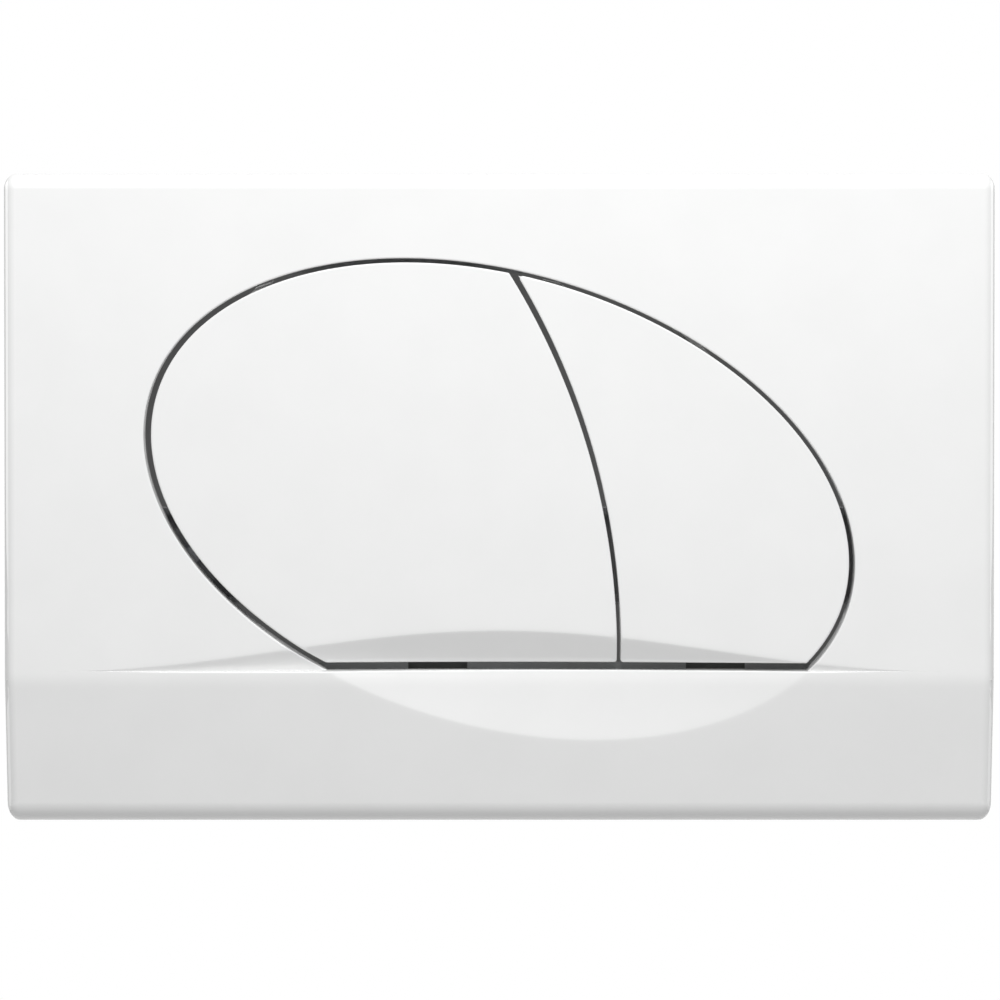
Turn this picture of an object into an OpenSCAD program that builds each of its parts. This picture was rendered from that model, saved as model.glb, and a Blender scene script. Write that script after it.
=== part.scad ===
// Dual flush plate: a cover with two rocking buttons, their push rods and the frame behind them.
// X runs to the right, Z up and Y into the wall. The wall's face is y = 0, the cover stands in -Y.
// "depth" values are distances in front of the wall, and "y" values lie behind it.

/* [Cover] */
// Width of the cover
plate_w = 245; // [240:1:260]
// Height of the cover
plate_h = 161; // [158:1:175]
// Depth of the cover at its top edge
top_depth = 11; // [10.5:0.5:13]
// Depth of the cover at its ridge, the most that it stands out
ridge_depth = 15; // [14:0.5:18]
// Depth of the cover at its bottom edge
bottom_depth = 9; // [8:0.5:12]
// Height of the ridge above the cover's centre (negative is below)
ridge_z = -44.6; // [-46:0.2:-43.8]
// Wall thickness of the cover
wall = 2.5; // [2:0.1:3]
// Radius of the cover's corners, seen from the front
corner_r = 3.2; // [2:0.2:5]
// Radius of the roll along the top edge
top_roll = 4; // [3:0.5:5]
// Radius of the roll along the bottom edge
bottom_roll = 6; // [4:0.5:7]
// Radius of the roll along each side
side_roll = 2.8; // [2:0.2:3.4]
// Radius of the soft bend at the ridge
ridge_r = 17; // [10:1:24]

/* [Opening] */
// Half the long axis of the oval opening
open_a = 90.3; // [86:0.1:92]
// Half the short axis of the oval opening
open_b = 55.9; // [53:0.1:57]
// Tilt of the oval, right side down, in degrees
open_tilt = 17; // [12:0.5:20]
// Height of the straight edge that cuts the oval off
line_z = -42.4; // [-43:0.1:-41]
// Thickness of the flange round the opening
flange_t = 1.6; // [1.2:0.1:2]
// Depth at which the flange ends
flange_depth = 6.5; // [6.4:0.1:7.5]

/* [Finger hollow] */
// Half the width of the sickle cut above the straight edge
sickle_half = 109; // [100:1:114]
// Height of the sickle cut at its middle
sickle_rise = 10.1; // [6:0.1:11]
// Angle of the sickle cut's slope against the wall
sickle_slope = 30; // [15:1:32]
// Depth that the hollow below the straight edge would reach at the oval's centre
scoop = 10; // [6:0.5:11]

/* [Buttons] */
// Wall thickness of the buttons
button_wall = 2.2; // [1.8:0.1:2.6]
// Gap round the buttons at the ends of the long axis
gap_long = 1.65; // [1.2:0.05:2]
// Gap round the buttons at the ends of the short axis
gap_short = 1.3; // [1.1:0.05:1.8]
// Gap below the buttons
gap_below = 2; // [1.4:0.1:2.6]
// Radius of the arc that parts the buttons
divider_r = 178.5; // [170:0.5:190]
// Rightmost place of that arc
divider_x = 29.6; // [24:0.2:30]
// Height of that arc's centre
divider_z = -37.8; // [-45:0.1:-30]
// Gap between the buttons at the bottom
divider_gap = 0.96; // [0.9:0.02:1.4]
// How much higher the second arc's centre is, which widens the gap towards the top
divider_lift = 0.92; // [0:0.02:1.2]
// Depth at which the buttons' skirts end
skirt_depth = 4.2; // [4:0.1:5]
// How far the buttons sit to the right of the opening's centre
button_right = 0.2; // [0:0.05:0.3]
// How far the buttons sit above the opening's centre
button_up = 0.3; // [0:0.05:0.4]
// Thickness of the ribs inside the buttons and the cover
rib_t = 1.4; // [1:0.1:1.8]
// Depth at which these ribs end
rib_depth = 7.2; // [7.2:0.1:8]

/* [Hinges] */
// Height of the hinge line above the opening's top
hinge_rise = 4.9; // [4.5:0.1:6]
// Depth of the hinge line
hinge_depth = 5.8; // [5.8:0.1:6]
// Radius of the hinge pins
pin_r = 1.25; // [1:0.05:1.4]
// Running clearance of the buttons' arms on the pins
pin_play = 0.06; // [0.04:0.01:0.1]
// Radius of the arms' and lugs' eyes
eye_r = 2.4; // [2.2:0.1:2.4]
// Thickness of the arms
arm_t = 5; // [4:0.5:6]
// Thickness of the cover's lugs
lug_t = 2.4; // [2:0.1:3]
// Side play between arms and lugs
arm_play = 0.3; // [0.2:0.05:0.5]
// Places of the large button's arms
large_arm_x = [-62, -8]; // [-80:1:0]
// Places of the small button's arms
small_arm_x = [16, 52]; // [10:1:70]
// Angle that the buttons press in, in degrees
press_angle = 3.5; // [2:0.1:3.6]

/* [Push rods] */
// Distance between the two push rods
rod_spacing = 80; // [74:1:90]
// Distance of the push rods below the hinge line
rod_drop = 80; // [74:1:84]
// Radius of the push rods
rod_r = 3; // [2.5:0.1:3.2]
// Place of the push rods' free ends behind the wall
rod_end_y = 84; // [60:1:110]
// Radius of the push rods' heads
head_r = 8; // [7.6:0.1:8.4]
// Depth of the pads that the heads touch
pad_depth = 6; // [5.5:0.1:7]
// Gap between pads and heads
pad_gap = 0.15; // [0.1:0.05:0.3]
// Radius of the springs' middle line
spring_r = 6.5; // [6.4:0.1:6.8]
// Thickness of the springs' wire
wire_d = 1; // [0.8:0.1:1]
// Turns of each spring
spring_turns = 6; // [4:1:7]
// Length of the springs at rest
spring_l = 16; // [14:0.5:20]
// Width across the flats of the lock nuts
locknut_af = 9.6; // [9:0.1:9.8]
// Running clearance of the rods in their bushes
bush_play = 0.08; // [0.04:0.01:0.1]

/* [Mounting frame] */
// Gap between the cover's side walls and the frame
frame_gap = 7; // [6:0.5:9]
// Thickness of the frame's plate
frame_t = 2.6; // [2:0.1:2.8]
// Length of the collar behind the wall's face
collar_l = 24; // [20:1:30]
// Thickness of the collar's wall
collar_t = 2; // [1.6:0.1:3]
// Height of the bridge that carries the rods
bridge_h = 24; // [22:1:28]
// Thickness of the bridge
bridge_t = 4; // [3:0.5:5]
// Place of the large button's tool slot in the rail below the buttons
large_slot_x = -15.4; // [-25:0.2:-5]
// Place of the small button's tool slot in the rail below the buttons
small_slot_x = 54; // [48:0.2:62]
// Width of the tool slots
slot_w = 14.8; // [8:0.2:16]

/* [Fixing] */
// Distance between the two fixing rods
fixing_spacing = 156; // [150:1:164]
// Radius of the fixing rods' thread
fixing_r = 3; // [2.5:0.1:3.2]
// Length of the fixing rods' free ends
fixing_free_l = 27; // [20:1:40]
// Length of the spacer sleeves
sleeve_l = 35; // [20:1:50]
// Radius of the spacer sleeves
sleeve_r = 5.5; // [5:0.1:6.5]
// Radius of the hand nuts
nut_r = 8.4; // [7.5:0.1:8.6]

/* [Hidden] */
$fn = 64;

far = 30;
top_z = plate_h / 2;
side_x = plate_w / 2;

// The face is two planes that meet at the ridge. Their normals lean up and down by these angles.
upper_lean = atan((ridge_depth - top_depth) / (top_z - ridge_z));
lower_lean = -atan((ridge_depth - bottom_depth) / (ridge_z + top_z));
upper_d = ridge_depth * cos(upper_lean) + ridge_z * sin(upper_lean);
lower_d = ridge_depth * cos(lower_lean) + ridge_z * sin(lower_lean);

// Half height of the tilted oval, the angle on it of its lowest point, and the hinge line above it
oval_top = norm([open_a * sin(open_tilt), open_b * cos(open_tilt)]);
oval_side = norm([open_a * cos(open_tilt), open_b * sin(open_tilt)]);
oval_low = atan2(open_b * cos(open_tilt), -open_a * sin(open_tilt)) + 180;
hinge_z = oval_top + hinge_rise;
rod_z = hinge_z - rod_drop;
button_z = line_z + gap_below;
button_a = open_a - gap_long;
button_b = open_b - gap_short;
divider_cx = divider_x - divider_r;

// Places along the push rods and the fixing rods
head_y = -pad_depth + pad_gap;
head_back = 0;
head_hub = 2;
locknut_l = 4;
bush_front = head_back + spring_l;
bush_flange = 2;
bush_r = 6;
bush_l = 10;
bridge_y = bush_front + bush_flange;
clip_y = bridge_y + bush_l;
clip_t = 0.8;
clip_groove_r = rod_r - 0.4;
nut_l = 7;
sleeve_y = bridge_y + bridge_t;
sleeve_end = sleeve_y + sleeve_l;

// The domed heads and where the rods start inside them
dome_r = 20;
hub_r = 5;
rod_front_y = head_y + 2.6;
clip_r = 5.2;
fixing_play = 0.3;
pin_reach = arm_t / 2 + arm_play + lug_t;

// Snap hooks inside the cover, which grip the frame's edge, and posts that bear on its plate
hook_x = 74;
hook_w = 10;
hook_t = 1.6;
hook_play = 0.3;
barb = 0.8;
post_x = side_x - wall - 16;
post_z = top_z - wall - 16;

// The frame's plate, its window and its collar
frame_x = side_x - wall - frame_gap;
frame_z = top_z - wall - frame_gap;
window_x = oval_side + 5;
window_top = oval_top - 3.6;
rail_z = line_z + 1.2;
collar_x = window_x + 3;
window_r = 6;
slot_h = 4;
rim_t = 1.6;
rim_h = 2;
bridge_rib = 4;
post_r = 4;

// Ribs: height of those that run across, and distance of the cover's upright ones from its middle
rib_z = 22;
rib_x = 36;

// Stops: rubber buffers under the buttons and the posts on the bridge that they meet
stop_play = 3.6;
outer_stop_x = fixing_spacing / 2 - nut_r - post_r - stop_play;
inner_stop_x = head_r + 18 - rod_spacing / 2;
large_stop_x = [-outer_stop_x, inner_stop_x];
small_stop_x = [outer_stop_x];
buffer_r = 3.2;
buffer_t = 2;
buffer_depth = 3.4;
stop_gap = 0.35;
press_at_rods = rod_drop * tan(press_angle);
stop_y = press_at_rods + stop_gap - buffer_depth;

// Depth of the flat face at height z
function face(z) = min((upper_d - z * sin(upper_lean)) / cos(upper_lean),
                       (lower_d - z * sin(lower_lean)) / cos(lower_lean));

// Where two lines meet that lie at distances d1 and d2 from the origin, with normals at a1 and a2
function meet(a1, d1, a2, d2) =
    [d1 * sin(a2) - d2 * sin(a1), d2 * cos(a1) - d1 * cos(a2)] / sin(a2 - a1);
function arc(c, r, a1, a2, n) = [for (i = [0:n]) c + r * [cos(a1 + (a2 - a1) * i / n),
                                                          sin(a1 + (a2 - a1) * i / n)]];
// A corner between two such lines, rounded to r
function rounded(a1, d1, a2, d2, r, n) = arc(meet(a1, d1 - r, a2, d2 - r), r, a1, a2, n);

// Height of the oval's upper side at x
function oval_z(x, a, b) =
    let (s = sin(open_tilt), c = cos(open_tilt),
         k = s * s / (a * a) + c * c / (b * b),
         m = 2 * x * s * c * (1 / (b * b) - 1 / (a * a)),
         n = x * x * (c * c / (a * a) + s * s / (b * b)) - 1)
    (-m + sqrt(m * m - 4 * k * n)) / (2 * k);

// Place of a point on the oval, at the share s of its size and the angle t
function oval_point(s, t) = s * [open_a * cos(t) * cos(open_tilt) + open_b * sin(t) * sin(open_tilt),
                                 -open_a * cos(t) * sin(open_tilt) + open_b * sin(t) * cos(open_tilt)];

// Extrudes a front view (x, z) between two depths
module front(d0, d1) { translate([0, -d0, 0]) rotate([90, 0, 0]) linear_extrude(d1 - d0) children(); }

// Extrudes a side view (y, z) between two places along X
module side(x0, x1) { translate([x0, 0, 0]) rotate([90, 0, 90]) linear_extrude(x1 - x0) children(); }

// Turns an outline (radius, y) about an axis along Y
module turned(x, z) { translate([x, 0, z]) rotate([-90, 0, 0]) rotate_extrude() children(); }

module bar(x, z, r, y0, y1) { translate([x, y0, z]) rotate([-90, 0, 0]) cylinder(h = y1 - y0, r = r); }

module box(x0, x1, z0, z1) { translate([min(x0, x1), min(z0, z1)]) square([abs(x1 - x0), abs(z1 - z0)]); }

module round_box(x0, x1, z0, z1, r) {
    box(x0 + r, x1 - r, z0, z1);
    box(x0, x1, z0 + r, z1 - r);
    for (x = [x0 + r, x1 - r], z = [z0 + r, z1 - r]) translate([x, z]) circle(r = r);
}

module oval(a, b) { rotate(-open_tilt) scale([a, b]) circle(r = 1, $fn = 240); }

// Side view of the cover, inset by t
module face_section(t) {
    top_r = max(top_roll - t, 0.8);
    low_r = max(bottom_roll - t, 0.8);
    points = concat(
        rounded(90, top_z - t, upper_lean, upper_d - t, top_r, 6),
        rounded(upper_lean, upper_d - t, lower_lean, lower_d - t, ridge_r, 4),
        rounded(lower_lean, lower_d - t, -90, top_z - t, low_r, 8),
        [[-1, -top_z + t], [-1, top_z - t]]);
    polygon([for (q = points) [-q[0], q[1]]]);
}

// What lies outside the roll along one side of one of the two faces
module side_roll_cut(lean, l) {
    r = side_roll;
    corner = concat([[1, 1], [1, -r]], arc([-r, -r], r, 0, 90, 6), [[-r, 1]]);
    translate([side_x, -ridge_depth, ridge_z]) rotate([90 + (l > 0 ? -90 : 90) + lean, 0, 0])
        linear_extrude(abs(l)) polygon([for (q = corner) [q[0], (l > 0 ? -1 : 1) * q[1]]]);
}

// The whole block of the cover, which ends on the wall, or what t of wall leaves inside it
module cover_block(t) {
    intersection() {
        front(t > 0 ? -1 : 0, far) round_box(t - side_x, side_x - t, t - top_z, top_z - t, corner_r);
        side(-side_x, side_x) face_section(t);
    }
}

// The sickle-shaped cut above the straight edge: a slope that runs inwards and ends on a level shelf.
// With t it is grown by that wall, for the inside of the shells.
module sickle_cut(t) {
    n = 32;
    out = 0.6;
    k = tan(sickle_slope);
    function rise(x) = sickle_rise * (1 + cos(180 * x / sickle_half)) / 2;
    points = [for (i = [0:n]) let (x = sickle_half * (2 * i / n - 1), h = rise(x), z = line_z + h)
        each [
            [x, -(face(z) + out - t), z + out / k + 0.27 * t],
            [x, -(face(line_z) - h * k - t * (k + 1 / cos(sickle_slope))), line_z - t],
            [x, -far, line_z - t],
            [x, -far, z + out / k + 0.27 * t]
        ]];
    strips = [for (i = [0:n - 1], j = [0:3])
        [4 * i + j, 4 * i + (j + 1) % 4, 4 * i + 4 + (j + 1) % 4, 4 * i + 4 + j]];
    polyhedron(points, concat([[3, 2, 1, 0]], strips, [[for (j = [0:3]) 4 * n + j]]), convexity = 4);
}

// The finger hollow below the straight edge: it sinks from the oval's rim towards the oval's centre
module scoop_cut(t) {
    n = 36;
    m = 5;
    span = 50;
    inner = 0.68;
    outer = 1.04;
    grid = [for (i = [0:n], j = [0:m])
        let (s = inner + (outer - inner) * j / m, q = oval_point(s, oval_low - span + 2 * span * i / n))
        [q[0], -(face(q[1]) - scoop * (1 - s * s) - 1.06 * t), q[1]]];
    function at(i, j) = i * (m + 1) + j;
    c = (n + 1) * (m + 1);
    cap = [for (i = [0:n], j = [0, m]) let (q = grid[at(i, j)]) [q[0], -far, q[2]]];
    dish = [for (i = [0:n - 1], j = [0:m - 1])
        each [[at(i, j), at(i, j + 1), at(i + 1, j + 1)], [at(i, j), at(i + 1, j + 1), at(i + 1, j)]]];
    front_face = [for (i = [0:n - 1]) [c + 2 * i + 1, c + 2 * i, c + 2 * i + 2, c + 2 * i + 3]];
    rims = [for (i = [0:n - 1]) each [
        [at(i, m), c + 2 * i + 1, c + 2 * i + 3, at(i + 1, m)],
        [at(i + 1, 0), c + 2 * i + 2, c + 2 * i, at(i, 0)]]];
    ends = [concat([for (j = [m:-1:0]) at(0, j)], [c, c + 1]),
            concat([for (j = [0:m]) at(n, j)], [c + 2 * n + 1, c + 2 * n])];
    polyhedron(concat(grid, cap), concat(dish, front_face, rims, ends), convexity = 4);
}

module opening_view(a, b, z) {
    intersection() {
        oval(a, b);
        box(-side_x, side_x, z, top_z);
    }
}

module pin_section() { translate([-hinge_depth, hinge_z]) circle(r = pin_r); }

// Eye of a hinge lug, with what ties it to the cover's face
module lug_section() {
    translate([-hinge_depth, hinge_z]) circle(r = eye_r);
    box(-far, -hinge_depth, hinge_z - eye_r, hinge_z + eye_r);
}

module lugs(arms) {
    for (x = arms, s = [-1, 1])
        translate([x + s * (pin_reach - lug_t / 2), 0, 0]) side(-lug_t / 2, lug_t / 2) lug_section();
}

module hooks() {
    for (x = [-hook_x, hook_x], s = [-1, 1])
        side(x - hook_w / 2, x + hook_w / 2) scale([1, s]) {
            box(-far, -0.3, frame_z + hook_play, frame_z + hook_play + hook_t);
            polygon([[-0.3, frame_z + hook_play + hook_t], [-0.3, frame_z], [-1.1, frame_z - barb],
                     [-1.4, frame_z - barb], [-1.4, frame_z + hook_play + hook_t]]);
        }
}

// What stays solid inside the cover
module cover_inside() {
    front(flange_depth, far) opening_view(open_a + flange_t, open_b + flange_t, line_z - flange_t);
    for (x = [-post_x, post_x], z = [-post_z, post_z]) bar(x, z, 3, -far, -frame_t);
    lugs(large_arm_x);
    lugs(small_arm_x);
    hooks();
    front(rib_depth, far) {
        for (s = [-1, 1]) {
            for (z = [-rib_z, rib_z])
                box(s * side_x, s * oval_side * cos(open_tilt), z - rib_t / 2, z + rib_t / 2);
            for (x = [-rib_x, rib_x])
                box(x - rib_t / 2, x + rib_t / 2, s * top_z, s > 0 ? oval_z(x, open_a, open_b) : line_z);
            box(s * post_x - rib_t / 2, s * post_x + rib_t / 2, -top_z, top_z);
        }
    }
}

module cover_plate() {
    color("white")
    difference() {
        cover_block(0);
        for (s = [0, 1]) mirror([s, 0, 0]) {
            side_roll_cut(upper_lean, top_z - ridge_z + 2);
            side_roll_cut(lower_lean, -(top_z + ridge_z + 2));
        }
        difference() {
            cover_block(wall);
            sickle_cut(wall);
            scoop_cut(wall);
            cover_inside();
        }
        sickle_cut(0);
        scoop_cut(0);
        front(-1, far) opening_view(open_a, open_b, line_z);
        for (x = [large_arm_x, small_arm_x])
            side(x[0] - pin_reach - 1, x[1] + pin_reach + 1) pin_section();
    }
}

// Front view of both buttons together, inset by t
module buttons_view(t) {
    intersection() {
        translate([button_right, button_up]) oval(button_a - t, button_b - t);
        box(-side_x, side_x, button_z + t, top_z);
    }
}

module large_view(t) {
    intersection() {
        buttons_view(t);
        translate([divider_cx, divider_z]) circle(r = divider_r - divider_gap / 2 - t, $fn = 180);
    }
}

module small_view(t) {
    difference() {
        buttons_view(t);
        translate([divider_cx, divider_z + divider_lift])
            circle(r = divider_r + divider_gap / 2 + t, $fn = 180);
    }
}

// An arm that reaches from a button's skirt, behind the cover's flange, to the hinge pin
module arm(x) {
    low = oval_z(x, button_a, button_b) - 2 * button_wall;
    side(x - arm_t / 2, x + arm_t / 2) difference() {
        union() {
            translate([-hinge_depth, hinge_z]) circle(r = eye_r);
            box(-hinge_depth - 0.4, -hinge_depth + eye_r, low, hinge_z);
        }
        translate([-hinge_depth, hinge_z]) circle(r = pin_r + pin_play);
    }
}

// The hollow pad that a rod's head touches, and the stems that hold the buffers
module pad(x) { bar(x, rod_z, 6, -far, -pad_depth); }
module buffer_stem(x) { bar(x, rod_z, buffer_r + 0.8, -far, -buffer_depth - buffer_t); }

// Front view of one button: 1 is the large one, 2 the small one
module button_view(which, t) {
    if (which == 1) large_view(t);
    if (which == 2) small_view(t);
}

module button_shell(which, rod_x, stops, ribs) {
    difference() {
        intersection() {
            front(skirt_depth, far) button_view(which, 0);
            side(-side_x, side_x) face_section(0);
        }
        sickle_cut(0);
        difference() {
            intersection() {
                front(0, far) button_view(which, button_wall);
                side(-side_x, side_x) face_section(button_wall);
            }
            sickle_cut(button_wall);
            pad(rod_x);
            for (x = stops) buffer_stem(x);
            front(rib_depth, far) {
                for (x = ribs) box(x - rib_t / 2, x + rib_t / 2, -top_z, top_z);
                for (z = [rod_z, rib_z]) box(-side_x, side_x, z - rib_t / 2, z + rib_t / 2);
            }
        }
        for (x = stops) bar(x, rod_z, buffer_r / 2, -buffer_depth - buffer_t - 3, 0);
    }
}

// Tab that lies behind the cover's flange and stops the button's way out
module keeper(s) {
    z = -s * 16;
    x = oval_side - gap_long;
    front(skirt_depth, flange_depth - 0.3)
        box(s > 0 ? x - 4 : -x - 2.6, s > 0 ? x + 2.6 : -x + 4, z - 5, z + 5);
}

module large_button() {
    color("white") {
        button_shell(1, -rod_spacing / 2, large_stop_x, [large_arm_x[0], -rod_spacing / 2, large_arm_x[1]]);
        for (x = large_arm_x) arm(x);
        keeper(-1);
    }
}

module small_button() {
    color("white") {
        button_shell(2, rod_spacing / 2, small_stop_x, [small_arm_x[0], rod_spacing / 2, small_stop_x[0]]);
        for (x = small_arm_x) arm(x);
        keeper(1);
    }
}

module hinge_pin(arms) {
    color("silver")
    side(arms[0] - pin_reach, arms[1] + pin_reach) pin_section();
}

module buffers(stops) {
    color("dimgray")
    for (x = stops) {
        bar(x, rod_z, buffer_r, -buffer_depth - buffer_t, -buffer_depth);
        bar(x, rod_z, buffer_r / 2, -buffer_depth - buffer_t - 3, -buffer_depth - 1);
    }
}

// The frame: a plate on the wall, a collar that goes into the wall, and a bridge that carries the rods
module frame_plate() {
    front(0, frame_t) difference() {
        round_box(-frame_x, frame_x, -frame_z, frame_z, corner_r);
        round_box(-window_x, window_x, rail_z, window_top, window_r);
        for (x = [large_slot_x, small_slot_x]) box(x - slot_w / 2, x + slot_w / 2, rail_z - slot_h, 0);
    }
    front(frame_t, frame_t + rim_h) difference() {
        round_box(-frame_x, frame_x, -frame_z, frame_z, corner_r);
        box(rim_t - frame_x, frame_x - rim_t, rim_t - frame_z, frame_z - rim_t);
    }
}

module frame_collar() {
    front(-collar_l, 0) difference() {
        round_box(-collar_x - collar_t, collar_x + collar_t,
                  -window_top - collar_t, window_top + collar_t, window_r + collar_t);
        round_box(-collar_x, collar_x, -window_top, window_top, window_r);
    }
}

module frame_bridge() {
    front(-bridge_y - bridge_t, -bridge_y)
        box(-collar_x - 0.5, collar_x + 0.5, rod_z - bridge_h / 2, rod_z + bridge_h / 2);
    for (s = [-1, 1]) let (z = rod_z + s * (bridge_h - rim_t) / 2)
        front(-bridge_y, bridge_rib - bridge_y)
            box(-collar_x - 0.5, collar_x + 0.5, z - rim_t / 2, z + rim_t / 2);
    for (x = concat(large_stop_x, small_stop_x)) bar(x, rod_z, post_r, stop_y, bridge_y);
}

module mounting_frame() {
    color("gainsboro")
    difference() {
        union() {
            frame_plate();
            frame_collar();
            frame_bridge();
        }
        for (s = [-1, 1]) {
            bar(s * rod_spacing / 2, rod_z, bush_r, 0, collar_l + 1);
            bar(s * fixing_spacing / 2, rod_z, fixing_r + fixing_play, 0, collar_l + 1);
            for (x = [-hook_x, hook_x])
                front(-1, 1.7)
                    box(x - hook_w / 2 - 1, x + hook_w / 2 + 1, s * (frame_z - barb - hook_play), s * top_z);
        }
    }
}

module guide_bush(x) {
    color("whitesmoke")
    turned(x, rod_z) translate([0, bush_front]) difference() {
        union() {
            square([bush_r, bush_flange + bush_l]);
            square([head_r + 0.5, bush_flange]);
            translate([0, bush_flange + bridge_t + 0.1])
                polygon([[0, 0], [bush_r + 0.7, 0], [bush_r, 1.4], [0, 1.4]]);
        }
        translate([0, -1]) square([rod_r + bush_play, bush_l + bush_flange + 2]);
    }
}

// The rod's front end sits in its head, and its groove holds the clip behind the bush
module push_rod(x) {
    color("silver")
    turned(x, rod_z) difference() {
        polygon([[0, rod_front_y], [rod_r, rod_front_y], [rod_r, rod_end_y - 0.8],
                 [rod_r - 0.8, rod_end_y], [0, rod_end_y]]);
        translate([clip_groove_r, clip_y]) square([rod_r, clip_t]);
    }
}

// The domed head that the button's pad presses
module rod_head(x) {
    color("whitesmoke")
    turned(x, rod_z) difference() {
        union() {
            intersection() {
                translate([0, head_y + dome_r]) circle(r = dome_r, $fn = 180);
                translate([0, head_y]) square([head_r, head_back - head_y]);
            }
            square([hub_r, head_hub]);
        }
        translate([0, rod_front_y]) square([rod_r, 20]);
    }
}

module rod_locknut(x) {
    color("silver")
    front(-head_hub - locknut_l, -head_hub) translate([x, rod_z]) difference() {
        circle(r = locknut_af / 2 / cos(30), $fn = 6);
        circle(r = rod_r);
    }
}

module rod_clip(x) {
    color("darkgray")
    front(-clip_y - clip_t, -clip_y) translate([x, rod_z]) difference() {
        circle(r = clip_r);
        circle(r = clip_groove_r);
        translate([-0.8 * clip_groove_r, -clip_r - 1]) square([1.6 * clip_groove_r, clip_r + 1]);
    }
}

// A wire wound round the rod. Its first and last turns lie close, the others share the rest of the length.
module return_spring(x) {
    sides = 6;
    steps = 14;
    wire = wire_d / 2;
    first = head_back + wire + 0.1;
    last = bush_front - wire - 0.1;
    closed = 1.08 * wire_d;
    n = steps * spring_turns;
    function along(t) =
        t < 1 ? first + closed * t
        : t > spring_turns - 1 ? last - closed * (spring_turns - t)
        : first + closed + (last - first - 2 * closed) * (t - 1) / (spring_turns - 2);
    points = [for (i = [0:n], j = [0:sides - 1])
        let (a = 360 * i / steps, r = spring_r + wire * cos(360 * j / sides))
        [x + r * cos(a), along(i / steps) + wire * sin(360 * j / sides), rod_z + r * sin(a)]];
    skin = [for (i = [0:n - 1], j = [0:sides - 1]) let (k = (j + 1) % sides)
        each [[sides * i + j, sides * (i + 1) + j, sides * (i + 1) + k],
              [sides * i + j, sides * (i + 1) + k, sides * i + k]]];
    color("lightgray")
    polyhedron(points, concat(skin, [[for (j = [0:sides - 1]) j]],
                              [[for (j = [sides - 1:-1:0]) sides * n + j]]), convexity = 8);
}

// Threaded at both ends, thinner where it runs through its sleeve
module fixing_rod(x) {
    core = 0.88 * fixing_r;
    front_y = bridge_y - nut_l - 2;
    color("silver")
    turned(x, rod_z) polygon([
        [0, front_y], [fixing_r - 0.6, front_y], [fixing_r, front_y + 0.6], [fixing_r, sleeve_y + 4],
        [core, sleeve_y + 4], [core, sleeve_end], [fixing_r, sleeve_end],
        [fixing_r, sleeve_end + fixing_free_l - 0.8], [fixing_r - 0.8, sleeve_end + fixing_free_l],
        [0, sleeve_end + fixing_free_l]]);
}

module fixing_nut(x) {
    flutes = 12;
    color("whitesmoke") {
        front(-bridge_y, nut_l - bridge_y) translate([x, rod_z]) difference() {
            circle(r = nut_r);
            circle(r = fixing_r);
            for (i = [0:flutes - 1])
                rotate(360 * i / flutes) translate([nut_r + 0.5, 0]) circle(r = 1.3, $fn = 24);
        }
    }
}

module spacer_sleeve(x) {
    color("gainsboro")
    turned(x, rod_z) translate([fixing_r + fixing_play, sleeve_y]) {
        square([sleeve_r - fixing_r - fixing_play, sleeve_l]);
        square([sleeve_r + 2 - fixing_r - fixing_play, 2]);
    }
}

cover_plate();
large_button();
small_button();
hinge_pin(large_arm_x);  // large_hinge_pin
hinge_pin(small_arm_x);  // small_hinge_pin
buffers(large_stop_x);  // large_button_buffers
buffers(small_stop_x);  // small_button_buffer
mounting_frame();
guide_bush(-rod_spacing / 2);  // large_guide_bush
guide_bush(rod_spacing / 2);  // small_guide_bush
push_rod(-rod_spacing / 2);  // large_push_rod
push_rod(rod_spacing / 2);  // small_push_rod
rod_head(-rod_spacing / 2);  // large_rod_head
rod_head(rod_spacing / 2);  // small_rod_head
rod_locknut(-rod_spacing / 2);  // large_rod_locknut
rod_locknut(rod_spacing / 2);  // small_rod_locknut
rod_clip(-rod_spacing / 2);  // large_rod_clip
rod_clip(rod_spacing / 2);  // small_rod_clip
return_spring(-rod_spacing / 2);  // large_return_spring
return_spring(rod_spacing / 2);  // small_return_spring
fixing_rod(-fixing_spacing / 2);  // left_fixing_rod
fixing_rod(fixing_spacing / 2);  // right_fixing_rod
fixing_nut(-fixing_spacing / 2);  // left_fixing_nut
fixing_nut(fixing_spacing / 2);  // right_fixing_nut
spacer_sleeve(-fixing_spacing / 2);  // left_spacer_sleeve
spacer_sleeve(fixing_spacing / 2);  // right_spacer_sleeve
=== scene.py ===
import math
import bpy
import bmesh
import numpy as np
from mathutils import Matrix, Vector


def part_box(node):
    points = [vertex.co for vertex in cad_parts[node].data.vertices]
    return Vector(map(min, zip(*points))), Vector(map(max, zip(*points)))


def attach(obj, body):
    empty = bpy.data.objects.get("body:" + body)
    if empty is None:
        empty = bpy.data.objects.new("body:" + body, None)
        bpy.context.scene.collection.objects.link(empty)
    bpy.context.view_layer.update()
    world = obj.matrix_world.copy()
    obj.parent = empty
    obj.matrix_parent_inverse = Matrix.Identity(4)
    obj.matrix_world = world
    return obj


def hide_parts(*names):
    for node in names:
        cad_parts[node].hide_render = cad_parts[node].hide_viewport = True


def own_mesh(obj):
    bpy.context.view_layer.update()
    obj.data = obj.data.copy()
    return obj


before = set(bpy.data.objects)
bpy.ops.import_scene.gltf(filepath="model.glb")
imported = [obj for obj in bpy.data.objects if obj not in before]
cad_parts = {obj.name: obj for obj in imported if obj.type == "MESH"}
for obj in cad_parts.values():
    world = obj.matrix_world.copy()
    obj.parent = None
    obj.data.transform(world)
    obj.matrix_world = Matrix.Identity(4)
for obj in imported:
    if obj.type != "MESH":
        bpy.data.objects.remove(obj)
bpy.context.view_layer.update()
print("frame loaded:", len(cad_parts), "nodes")

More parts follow.
